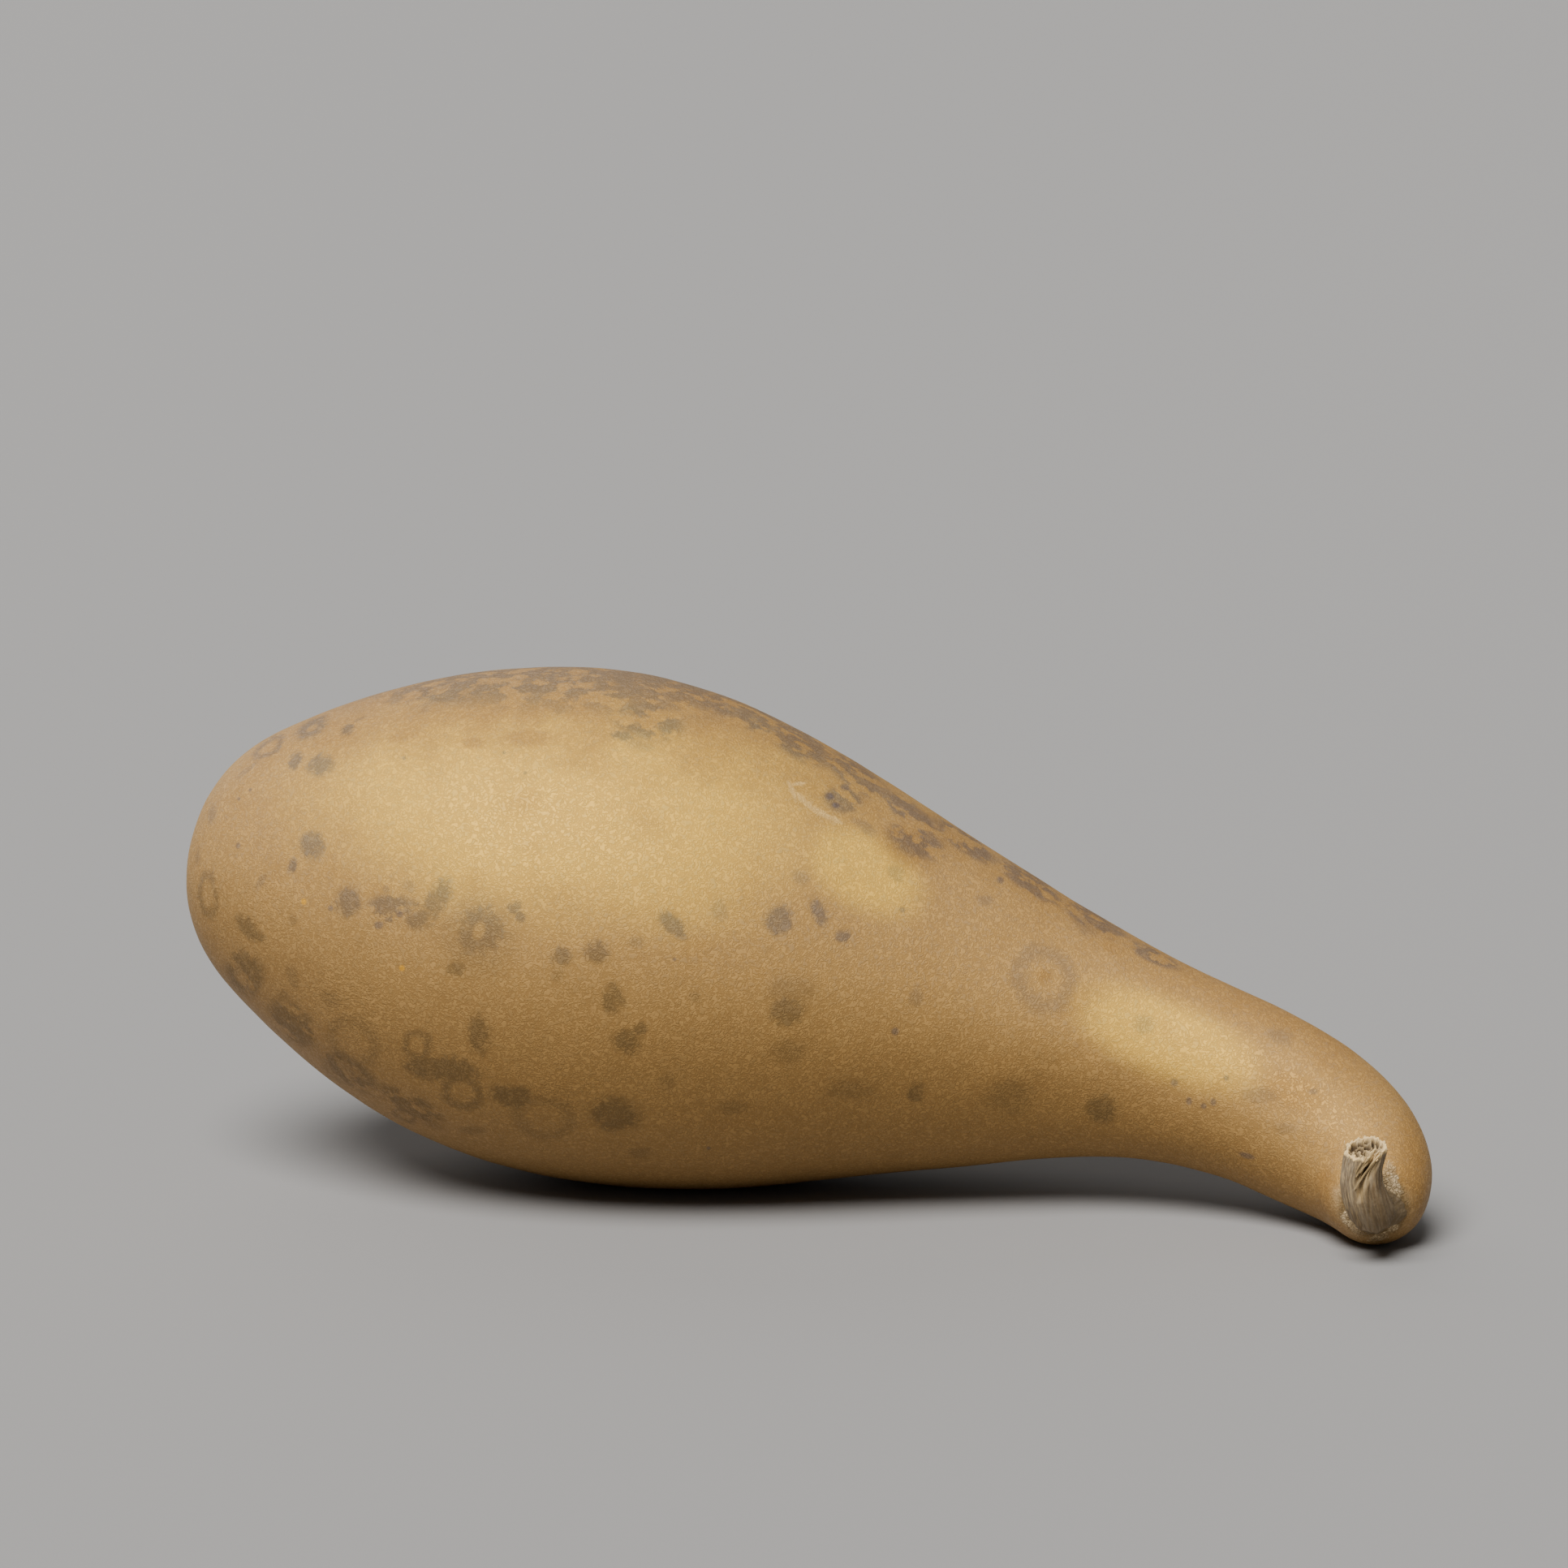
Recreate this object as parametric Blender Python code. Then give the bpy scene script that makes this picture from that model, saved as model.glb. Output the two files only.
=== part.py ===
"""Dried bottle gourd lying on its belly, its thin neck curving round to touch the surface.

The fruit is one hard dry skin that grew as one piece. The stub of its dried stem stands on the
neck's end, a corky piece of its own. X runs from the blossom end to the neck, Z is up, and the
origin is at the middle of the bounding box, on the surface that the gourd lies on.
"""

import math

import bmesh
import bpy
import numpy as np

MM = 0.001

# Axis of the fruit: x, y and z of the middle of the ball that fits inside the skin there,
# and the ball's radius, in millimetres from the middle of the belly's shadow on the surface
FRUIT_STATIONS = (
    (-65.5, 10.0, 72.7, 39.4),      # blossom end
    (-47.5, 7.0, 69.5, 49.5),
    (-24.0, 3.0, 65.3, 59.4),
    (-1.0, 0.0, 62.1, 62.4),        # widest place of the belly
    (23.5, -3.0, 56.8, 57.6),
    (47.0, -6.0, 52.0, 49.7),
    (76.5, -10.0, 45.5, 39.6),      # shoulder running out into the neck
    (105.5, -15.5, 39.8, 30.0),
    (130.0, -22.5, 34.5, 23.9),     # neck
    (151.0, -30.5, 28.7, 21.4),
    (165.0, -38.0, 22.8, 20.1),
    (173.4, -46.5, 18.2, 17.8),     # neck turning towards the front
    (177.0, -54.5, 14.8, 15.1),
    (177.5, -62.0, 13.0, 12.8),     # end of the neck, under the stem
)

# Dents and swellings that keep the belly from being perfectly round: how many lobes go round it,
# how far each stands out, how often they turn along the fruit, and where they start
LOBES = (
    (2, 0.30, 0.6, 0.9),
    (3, 0.25, 1.3, 2.1),
    (5, 0.12, 2.2, 4.0),
)

# Blossom scar at the blunt end: a shallow dimple round a small raised button
DIMPLE_DEPTH = 0.9
DIMPLE_RADIUS = 7.0
BUTTON_HEIGHT = 0.8
BUTTON_RADIUS = 2.2

# Axis of the stem and its radius at each place, from its root in the neck's end to the cut
STEM_STATIONS = (
    (176.3, -67.0, 12.8, 6.8),      # root, inside the neck's end
    (176.3, -71.5, 12.0, 6.7),
    (176.0, -75.5, 11.6, 6.1),      # flared foot
    (175.5, -79.0, 12.4, 5.4),
    (174.3, -81.7, 15.2, 5.0),      # elbow
    (172.8, -82.9, 19.5, 4.8),
    (172.6, -83.6, 24.0, 4.6),
    (173.2, -84.4, 28.6, 4.6),      # cut end
)
ROOT_BEVEL = 0.6
STEM_RIBS = 9
RIB_HEIGHT = 0.28
RIB_TWIST = 1.5
PITH_RADIUS = 3.3
PITH_FLOOR_RADIUS = 2.6
PITH_DEPTH = 1.6
RIM_ROUNDING = 0.5

# Uneven cut: its rise for each millimetre towards +X and +Y, the height of its three waves,
# and how sharply both die away down the stem
CUT_SLANT_X = 0.30
CUT_SLANT_Y = 0.20
CUT_WAVES = 0.30
CUT_FADE = 6

# Split that runs down the stem's front from the cut, slanting round it as it goes
SPLIT_DEPTH = 1.3
SPLIT_HALF_ANGLE = math.radians(15)
SPLIT_ANGLE = math.radians(282)
SPLIT_SLANT = math.radians(38)
SPLIT_REACH = 0.50

# Clear distance between the stem's seat and the skin
SEAT_GAP = 0.3

FRUIT_SIDES = 48
FRUIT_RINGS = 56
STEM_SIDES = 45
STEM_RINGS = 34
CURVE_SAMPLES = 480
CAP_SAMPLES = 48
RING_CROWDING = 24.0

SKIN_COLOR = (0.52, 0.33, 0.13, 1.0)
STEM_COLOR = (0.44, 0.36, 0.24, 1.0)


def spline(stations, place):
    """Smooth curve through rows of numbers, read at places from 0 to the last row's number."""
    rows = np.asarray(stations, float)
    rows = np.vstack([2 * rows[0] - rows[1], rows, 2 * rows[-1] - rows[-2]])
    last = len(rows) - 4
    first = np.minimum(place.astype(int), last)
    u = (place - first)[:, None]
    a, b, c, d = (rows[first + step] for step in range(4))
    return 0.5 * (2 * b + (c - a) * u + (2 * a - 5 * b + 4 * c - d) * u**2
                  + (3 * b - a - 3 * c + d) * u**3)


def unit(vectors):
    """The same vectors with a length of one."""
    return vectors / np.linalg.norm(vectors, axis=-1, keepdims=True)


def sample_axis(stations):
    """Middle, radius and direction along a smooth axis, and how fast the radius grows."""
    place = np.linspace(0, len(stations) - 1, CURVE_SAMPLES)
    rows = spline(stations, place)
    middle, radius = rows[:, :3], rows[:, 3]
    run = np.gradient(middle, place, axis=0)
    speed = np.linalg.norm(run, axis=1)
    return middle, radius, run / speed[:, None], np.gradient(radius, place) / speed


def ball_chain_rings(stations, extra=0.0):
    """Middle, radius and direction of the rings where a chain of balls touches its skin."""
    middle, radius, along, slope = sample_axis(stations)
    radius = radius + extra
    ring_middle = middle - (radius * slope)[:, None] * along
    ring_radius = radius * np.sqrt(1 - slope**2)
    start = np.linspace(0, math.acos(slope[0]), CAP_SAMPLES)[:-1]
    end = np.linspace(math.acos(-slope[-1]), 0, CAP_SAMPLES)[1:]
    start_middle = middle[0] - np.outer(radius[0] * np.cos(start), along[0])
    end_middle = middle[-1] + np.outer(radius[-1] * np.cos(end), along[-1])
    ring_middle = np.vstack([start_middle, ring_middle, end_middle])
    ring_radius = np.concatenate([radius[0] * np.sin(start), ring_radius, radius[-1] * np.sin(end)])
    along = np.vstack([np.tile(along[0], (len(start), 1)), along,
                       np.tile(along[-1], (len(end), 1))])
    return ring_middle, ring_radius, along


def crowd(ring_middle, ring_radius):
    """Share from 0 to 1 for each ring, growing more slowly where the fruit is thick."""
    step = np.hypot(np.linalg.norm(np.diff(ring_middle, axis=0), axis=1), np.diff(ring_radius))
    thickness = 0.5 * (ring_radius[1:] + ring_radius[:-1]) + RING_CROWDING
    share = np.concatenate([[0], np.cumsum(step / thickness)])
    return share / share[-1]


def sphere_angles(bm):
    """Share from the lower to the upper pole, and angle round, of each vertex of a ball."""
    points = np.array([vertex.co for vertex in bm.verts])
    share = np.arccos(np.clip(-unit(points)[:, 2], -1, 1)) / math.pi
    return share, np.arctan2(points[:, 1], points[:, 0])


def read_rings(share, ring_share, ring_middle, ring_radius, along):
    """Middle, radius and direction of the ring at each share."""
    middle = np.stack([np.interp(share, ring_share, axis) for axis in ring_middle.T], -1)
    direction = unit(np.stack([np.interp(share, ring_share, axis) for axis in along.T], -1))
    return middle, np.interp(share, ring_share, ring_radius), direction


def ball_mesh(sides, rings):
    """A round ball of unit radius, closed at both poles."""
    bm = bmesh.new()
    bmesh.ops.create_uvsphere(bm, u_segments=sides, v_segments=rings, radius=1)
    return bm


def move_vertices(bm, points):
    """Put each vertex at its point, given in millimetres."""
    for vertex, point in zip(bm.verts, points):
        vertex.co = point * MM
    bm.normal_update()


def add_object(name, bm, collection):
    """An object of the given name, smooth all over, that owns the modelled mesh."""
    mesh = bpy.data.meshes.new(name)
    bm.to_mesh(mesh)
    bm.free()
    mesh.shade_smooth()
    built = bpy.data.objects.new(name, mesh)
    collection.objects.link(built)
    return built


def lobes(share, angle):
    """Height of the dents and swellings, in millimetres, fading out at both poles."""
    fade = np.sin(math.pi * share) ** 2
    height = sum(amount * np.sin(count * angle + 2 * math.pi * turns * share + start)
                 for count, amount, turns, start in LOBES)
    return fade * height


def scar(from_axis):
    """How far the blossom end stands out along its axis: a dimple with a button in it."""
    dimple = DIMPLE_DEPTH * np.exp(-(from_axis / DIMPLE_RADIUS) ** 2)
    button = BUTTON_HEIGHT * np.exp(-(from_axis / BUTTON_RADIUS) ** 4)
    return button - dimple


def fruit_mesh(extra=0.0):
    """The fruit's skin, grown outwards by an extra thickness, and flat where it lies."""
    bm = ball_mesh(FRUIT_SIDES, FRUIT_RINGS)
    share, angle = sphere_angles(bm)
    ring_middle, ring_radius, along = ball_chain_rings(FRUIT_STATIONS, extra)
    ring_share = crowd(ring_middle, ring_radius)
    middle, radius, along = read_rings(share, ring_share, ring_middle, ring_radius, along)
    side = unit(np.cross((0.0, 0.0, 1.0), along))
    top = np.cross(along, side)
    reach = (radius + lobes(share, angle))[:, None]
    points = middle + reach * (np.cos(angle)[:, None] * side + np.sin(angle)[:, None] * top)
    blunt_end = share < 0.5
    points -= np.where(blunt_end, scar(radius), 0.0)[:, None] * along
    points[:, 2] = np.maximum(points[:, 2], -extra)
    move_vertices(bm, points)
    return bm


def stem_outline(length):
    """Place along the stem and share of its full radius, from the root's middle to the pith's."""
    root_radius = STEM_STATIONS[0][3]
    cut_radius = STEM_STATIONS[-1][3]
    return (
        (0.0, 0.0),
        (0.0, 1.0 - ROOT_BEVEL / root_radius),
        (ROOT_BEVEL, 1.0),
        (length - RIM_ROUNDING, 1.0),
        (length, 1.0 - RIM_ROUNDING / cut_radius),
        (length, PITH_RADIUS / cut_radius),
        (length - PITH_DEPTH, PITH_FLOOR_RADIUS / cut_radius),
        (length - PITH_DEPTH, 0.0),
    )


def walk_outline(outline, share):
    """Place and share of the radius at each share of the way round the outline."""
    corners = np.array(outline)
    scale = np.array([1.0, STEM_STATIONS[-1][3]])
    step = np.linalg.norm(np.diff(corners * scale, axis=0), axis=1)
    walked = np.concatenate([[0], np.cumsum(step)])
    walked /= walked[-1]
    return np.interp(share, walked, corners[:, 0]), np.interp(share, walked, corners[:, 1])


def split_depth(height_share, angle):
    """Depth of the slanting split, deepest at the cut and gone a good way down."""
    down = np.clip((1 - height_share) / SPLIT_REACH, 0, 1)
    middle = SPLIT_ANGLE - SPLIT_SLANT * down
    away = np.angle(np.exp(1j * (angle - middle)))
    return SPLIT_DEPTH * (1 - down) * np.exp(-(away / SPLIT_HALF_ANGLE) ** 2)


def stem_mesh():
    """The stem's stub: ribbed, split, flared at its foot and hollow at its cut end."""
    bm = ball_mesh(STEM_SIDES, STEM_RINGS)
    share, angle = sphere_angles(bm)
    middle, radius, along, _ = sample_axis(STEM_STATIONS)
    step = np.linalg.norm(np.diff(middle, axis=0), axis=1)
    walked = np.concatenate([[0], np.cumsum(step)])
    place, fullness = walk_outline(stem_outline(walked[-1]), share)
    middle, radius, along = read_rings(place, walked, middle, radius, along)
    height_share = place / walked[-1]
    ribs = RIB_HEIGHT * np.cos(STEM_RIBS * angle + RIB_TWIST * height_share)
    ribs = np.where(fullness * radius > PITH_RADIUS, ribs, 0.0)
    reach = (fullness * (radius + ribs - split_depth(height_share, angle)))[:, None]
    side = unit(np.array((1.0, 0.0, 0.0)) - along[:, :1] * along)
    back = np.cross(along, side)
    slant = reach[:, 0] * (CUT_SLANT_X * np.cos(angle) + CUT_SLANT_Y * np.sin(angle))
    uneven = slant + CUT_WAVES * fullness * np.cos(3 * angle)
    points = middle + (uneven * height_share**CUT_FADE)[:, None] * along
    points += reach * (np.cos(angle)[:, None] * side + np.sin(angle)[:, None] * back)
    move_vertices(bm, points)
    return bm


def principled(name, color, roughness):
    """A plain, not metallic material of one colour."""
    material = bpy.data.materials.new(name)
    material.use_nodes = True
    shader = material.node_tree.nodes["Principled BSDF"]
    shader.inputs["Base Color"].default_value = color
    shader.inputs["Roughness"].default_value = roughness
    shader.inputs["Metallic"].default_value = 0.0
    return material


def cut_seat(stem, cutters):
    """Cut the stem's foot to the shape of the neck's end, a little clear of it."""
    seat = add_object("neck_seat", fruit_mesh(SEAT_GAP), cutters)
    seat.hide_render = True
    seat.display_type = "WIRE"
    cut = stem.modifiers.new("Seat", "BOOLEAN")
    cut.operation = "DIFFERENCE"
    cut.object = seat
    return seat


def centre_on_floor(measured, moved):
    """Bring the middle of the measured objects' box to the origin, with its bottom at zero."""
    corners = np.array([vertex.co for built in measured for vertex in built.data.vertices])
    low, high = corners.min(axis=0), corners.max(axis=0)
    shift = -0.5 * (low + high)
    shift[2] = -low[2]
    for built in moved:
        for vertex in built.data.vertices:
            vertex.co = np.array(vertex.co) + shift


def main():
    for old in list(bpy.data.objects):
        bpy.data.objects.remove(old, do_unlink=True)
    part = bpy.data.collections.new("Dried bottle gourd")
    cutters = bpy.data.collections.new("Cutters")
    bpy.context.scene.collection.children.link(part)
    bpy.context.scene.collection.children.link(cutters)

    fruit = add_object("gourd_body", fruit_mesh(), part)
    fruit.data.materials.append(principled("Dry gourd skin", SKIN_COLOR, 0.42))
    stem = add_object("dried_stem", stem_mesh(), part)
    stem.data.materials.append(principled("Dry corky stem", STEM_COLOR, 0.85))
    seat = cut_seat(stem, cutters)
    centre_on_floor((fruit, stem), (fruit, stem, seat))


main()
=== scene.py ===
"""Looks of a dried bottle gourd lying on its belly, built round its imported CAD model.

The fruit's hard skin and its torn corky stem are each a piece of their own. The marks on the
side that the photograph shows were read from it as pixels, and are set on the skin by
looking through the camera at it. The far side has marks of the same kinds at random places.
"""

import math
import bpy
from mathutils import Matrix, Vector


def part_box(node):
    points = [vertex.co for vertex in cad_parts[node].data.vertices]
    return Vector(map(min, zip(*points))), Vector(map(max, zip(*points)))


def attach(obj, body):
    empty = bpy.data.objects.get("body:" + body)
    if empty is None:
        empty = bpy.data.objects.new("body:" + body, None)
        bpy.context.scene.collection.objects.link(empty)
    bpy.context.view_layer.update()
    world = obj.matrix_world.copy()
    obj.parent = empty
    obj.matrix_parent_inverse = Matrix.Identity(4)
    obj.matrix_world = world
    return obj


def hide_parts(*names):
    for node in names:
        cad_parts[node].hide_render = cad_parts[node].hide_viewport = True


bl_info = {
    "name": "Dried Bottle Gourd",
    "version": (1, 0, 0),
    "blender": (4, 5, 0),
    "location": "View3D > Sidebar > Gourd",
    "description": "Builds a dried bottle gourd with a mottled skin and a torn corky stem",
    "category": "Add Mesh",
}

import bmesh
import bpy
import numpy as np
from bpy.props import FloatProperty, FloatVectorProperty, PointerProperty
from mathutils import Matrix, Vector, noise
from mathutils.bvhtree import BVHTree

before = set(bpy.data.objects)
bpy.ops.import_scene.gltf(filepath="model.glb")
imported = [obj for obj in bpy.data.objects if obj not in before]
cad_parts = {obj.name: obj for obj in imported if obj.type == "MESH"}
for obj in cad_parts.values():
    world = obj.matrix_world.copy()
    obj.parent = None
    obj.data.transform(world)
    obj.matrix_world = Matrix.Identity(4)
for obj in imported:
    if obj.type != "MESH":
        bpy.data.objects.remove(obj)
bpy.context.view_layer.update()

MM = 0.001

# The photograph's frame and the camera that took it
PHOTO_SIDE = 1932
FOCAL_PIXELS = 6842
SENSOR_WIDTH = 36
CAMERA_PLACE = Vector((-0.00326, -1.30024, 0.34080))
CAMERA_TURN = Matrix.Rotation(math.radians(79.5), 3, "X")

# Marks on the skin: the pixel of the middle, half the width and half the height in pixels,
# and the lean in degrees, anticlockwise
DARK_SPOTS = (
    (590, 1148, 27, 28, 0),
    (384, 897, 17, 11, 29),
    (395, 943, 15, 12, 0),
    (384, 1043, 13, 15, 0),
    (429, 1112, 13, 16, 0),
    (539, 1105, 20, 12, 60),
    (516, 1131, 16, 10, 20),
    (563, 1191, 12, 8, 30),
    (590, 1274, 12, 21, 0),
    (528, 1317, 24, 12, -8),
    (562, 1318, 24, 12, -15),
    (630, 1351, 21, 13, -10),
    (758, 1373, 25, 19, 0),
    (734, 1173, 13, 12, -20),
    (693, 1179, 11, 10, 0),
    (827, 1139, 17, 10, -42),
    (961, 1133, 14, 15, 0),
    (1008, 1124, 8, 13, 12),
    (1039, 1153, 8, 8, 0),
    (970, 1245, 18, 15, 0),
    (771, 1284, 15, 12, 0),
    (787, 1268, 8, 6, 30),
    (755, 1232, 11, 15, 0),
    (634, 1118, 8, 6, -20),
    (641, 1129, 4, 7, 20),
    (363, 936, 8, 9, 0),
    (427, 899, 7, 6, 30),
    (358, 1068, 6, 7, 0),
    (307, 1144, 20, 9, -35),
    (768, 834, 20, 10, 0),
    (806, 836, 20, 11, -6),
    (855, 846, 20, 7, -22),
    (767, 907, 12, 7, -10),
    (822, 896, 9, 7, 0),
    (1129, 1345, 9, 11, 0),
    (1358, 1366, 15, 16, 0),
)
FAINT_SPOTS = (
    (588, 1150, 40, 40, 0),
    (785, 1160, 8, 7, 0),
    (361, 1203, 7, 13, 10),
    (349, 1228, 8, 8, 0),
    (322, 1086, 11, 4, 55),
    (261, 1003, 6, 9, 0),
    (243, 1054, 3, 8, 0),
    (503, 1092, 8, 6, 0),
    (475, 1098, 5, 4, 0),
    (772, 878, 12, 6, -10),
    (824, 871, 12, 6, -15),
    (443, 885, 7, 3, 20),
    (305, 949, 14, 3, 37),
    (524, 873, 7, 6, 0),
    (408, 1231, 12, 9, 0),
    (534, 1387, 12, 6, -20),
    (452, 1331, 14, 6, -30),
    (423, 1314, 14, 4, -38),
    (884, 1120, 8, 13, 0),
    (857, 1229, 6, 7, 0),
    (687, 1201, 8, 8, 0),
    (1213, 1107, 9, 6, 0),
    (1065, 1017, 15, 5, -38),
    (1104, 1076, 9, 9, 0),
    (1338, 1140, 15, 11, -30),
    (1047, 1343, 25, 11, 0),
    (582, 1393, 14, 4, 0),
    (790, 918, 12, 7, -10),
    (973, 1296, 18, 14, 0),
    (975, 1222, 24, 18, 0),
    (902, 1365, 15, 8, 0),
    (1129, 1229, 7, 12, 0),
    (1244, 1351, 24, 20, 0),
    (1410, 1262, 11, 9, 0),
    (822, 1333, 8, 10, 0),
    (789, 1421, 12, 6, 0),
    (361, 1133, 6, 6, 0),
    (1577, 1276, 13, 8, -20),
    (986, 1081, 9, 9, 0),
    (1551, 1350, 18, 8, 0),
    (1584, 1392, 12, 7, 0),
    (690, 874, 8, 4, 0),
)
DARK_RINGS = (
    (331, 920, 17, 8, 34),
    (256, 1102, 11, 21, 5),
    (513, 1288, 16, 15, 0),
    (569, 1347, 20, 18, 0),
    (895, 874, 12, 8, -20),
    (498, 1375, 12, 7, -15),
)
FAINT_RINGS = (
    (1287, 1204, 31, 33, 0),
    (435, 1286, 28, 27, 0),
    (422, 1320, 23, 15, 0),
    (670, 1378, 30, 24, 0),
    (302, 1209, 16, 18, -20),
    (553, 857, 26, 10, 0),
)
CLEAR_MARKS = (
    (590, 1147, 6, 9, -20),
    (384, 897, 6, 3, 29),
    (331, 921, 9, 4, 34),
)
SCRATCHES = (
    (976, 974, 11, 2, -68),
    (992, 988, 13, 3, -45),
    (1012, 1002, 13, 3, -28),
    (1030, 1010, 8, 2, -30),
    (984, 966, 8, 2, 10),
)
YELLOW_SPECKS = (
    (374, 1111, 3, 3, 0),
    (495, 1193, 3, 3, 0),
)
SPECKS = (
    (308, 973, 2, 2, 0),
    (294, 984, 2, 2, 0),
    (293, 1042, 3, 3, 0),
    (407, 1119, 3, 3, 0),
    (831, 1182, 2, 2, 0),
    (873, 1415, 2, 2, 0),
    (1447, 1334, 4, 4, 0),
    (1495, 1358, 3, 4, 0),
    (1483, 1363, 3, 3, 0),
    (1465, 1357, 3, 4, 0),
    (1511, 1328, 3, 3, 0),
    (1618, 1345, 5, 3, 0),
    (1536, 1424, 8, 3, -15),
    (498, 934, 2, 2, 0),
    (621, 927, 2, 2, 0),
    (647, 952, 2, 2, 0),
    (1112, 1121, 3, 3, 0),
    (1103, 1271, 4, 4, 0),
    (466, 1140, 5, 4, 0),
    (492, 1127, 4, 3, 0),
    (1022, 981, 5, 4, 0),
    (1041, 970, 5, 4, 0),
    (1030, 992, 4, 3, 0),
    (1233, 1084, 4, 4, 0),
)
MOTTLED_AREAS = (
    (480, 1120, 44, 26, 0),
    (520, 1126, 34, 26, 30),
    (384, 1043, 16, 18, 0),
    (560, 848, 70, 24, 8),
    (640, 836, 90, 22, 0),
    (700, 828, 60, 16, 0),
    (800, 838, 80, 26, -6),
    (880, 858, 70, 24, -25),
    (800, 886, 60, 36, -10),
    (935, 884, 44, 26, -25),
    (985, 914, 60, 28, -33),
    (1055, 954, 60, 24, -36),
    (1040, 985, 34, 24, 0),
    (1120, 1000, 60, 18, -36),
    (1130, 1036, 52, 28, -20),
    (1190, 1036, 60, 18, -36),
    (1270, 1086, 62, 18, -33),
    (1350, 1134, 60, 18, -28),
    (300, 1200, 40, 44, -30),
    (360, 1262, 50, 36, -40),
    (430, 1320, 60, 28, -35),
    (505, 1362, 60, 22, -25),
    (1420, 1176, 50, 12, -25),
)
# Painted highlights: paler tan areas laid where the light falls brightest on the belly and the
# neck
PAINTED_HIGHLIGHT_AREAS = (
    (700, 970, 440, 215, -4),
    (1062, 1072, 112, 68, -30),
    (1440, 1280, 155, 66, -24),
)
ORANGE_AREAS = (
    (502, 903, 46, 20, 15),
    (583, 914, 30, 14, 0),
    (650, 908, 55, 22, 0),
    (553, 857, 18, 7, 0),
    (400, 912, 30, 14, 25),
    (1287, 1202, 14, 15, 0),
    (1372, 1168, 30, 12, -20),
    (1120, 1040, 60, 40, -25),
    (1595, 1345, 60, 34, -20),
    (1632, 1460, 22, 34, 0),
    (1742, 1440, 34, 104, 0),
    (1738, 1492, 14, 34, 0),
    (660, 1340, 120, 40, -10),
    (900, 1375, 120, 30, 0),
    (400, 1290, 60, 40, -40),
)
WRINKLED_AREAS = (
    (430, 1240, 90, 60, -25),
    (690, 1347, 80, 24, 0),
    (552, 856, 60, 22, 10),
    (330, 1120, 60, 70, -30),
)
SILVER_AREAS = (
    (1712, 1450, 16, 25, 0),
    (1719, 1466, 16, 12, -20),
    (1660, 1502, 9, 15, 20),
    (1672, 1516, 13, 8, -35),
    (1699, 1525, 20, 8, 22),
    (1717, 1513, 11, 7, 35),
)

# How many times its half sizes a mark's soft cone reaches, and where on the cone a ring lies
SPOT_SPREAD = 1.9
RING_SPREAD = 1.6
RING_PLACE = 0.34
# Marks of the far side: the distance between them in millimetres, the draw above which one is
# there, and whether it is a ring
FAR_MARKS = (
    (26.0, 0.45, False),
    (15.0, 0.60, False),
    (37.0, 0.62, True),
)
# How squarely the skin has to face the camera, as a cosine, for a mark's depth to follow it
LEAST_FACING = 0.2

# Soft dents of the skin: the distance between them in millimetres, the noise's seed, and the
# share of their height
DENTS = (
    (19.0, 0.0, 1.0),
    (7.0, 5.0, 0.4),
)
# Height of the crust and of its crumbs, and the distance between the crumbs, in millimetres
CRUST_HEIGHT = 0.10
CRUMB_HEIGHT = 0.15
CRUMB_PERIOD = 2.2
# Distance between the cracks of the flakes, in millimetres
CRACK_PERIOD = 1.0
# Height above the floor over which the dents and the crust set in, in millimetres
CALM_HEIGHT = 2.5

# Axis of the stem from its root to its cut end, in millimetres: across from the left side of the
# CAD node's box, back from its front side, up from the floor, and the radius
STEM_STATIONS = (
    (9.6, 21.4, 11.6, 3.6),
    (9.4, 16.9, 11.6, 3.8),
    (8.8, 13.2, 11.7, 4.3),
    (7.4, 10.0, 12.6, 5.1),
    (5.9, 7.6, 15.6, 5.0),
    (4.6, 6.4, 19.5, 4.8),
    (4.5, 5.7, 24.0, 4.6),
    (5.3, 4.9, 28.6, 4.6),
)
# Outline of the stem from its root to the middle of its cut: share of the ball's rings,
# share of the axis, share of the radius
STEM_OUTLINE = (
    (0.00, 0.000, 0.00),
    (0.04, 0.000, 0.92),
    (0.06, 0.020, 1.00),
    (0.75, 0.990, 1.00),
    (0.77, 1.000, 0.96),
    (0.81, 1.000, 0.86),
    (0.84, 0.985, 0.80),
    (1.00, 0.975, 0.00),
)
# Rows of the outline where the torn rim's inner side and the pith begin
INNER_RIM = 4
PITH_EDGE = 5
STEM_SIDES = 160
STEM_RINGS = 190
CURVE_SAMPLES = 300
RIBS = 9
# Slope of the cut across the stem and from its front to its back
CUT_SLOPES = (0.30, 0.20)
# How far down the main cleft notches the rim, in millimetres, and the notch's half width in
# degrees
NOTCH_DEPTH = 2.6
NOTCH_WIDTH = 15
# The foot: the share of the axis that it ends at, how near the skin it starts to spread, how near
# the skin its corky tone starts, and the distance between its lobes, in millimetres
FOOT_SHARE = 0.7
FOOT_REACH = 3.2
FOOT_TONE_REACH = 5.0
FOOT_LOBES = 2.3

# Number of edges that only a pole of the skin's mesh has, and how far round it the mesh is
# rounded off, in millimetres
POLE_EDGES = 30
TIP_RADIUS = 3.5

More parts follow.
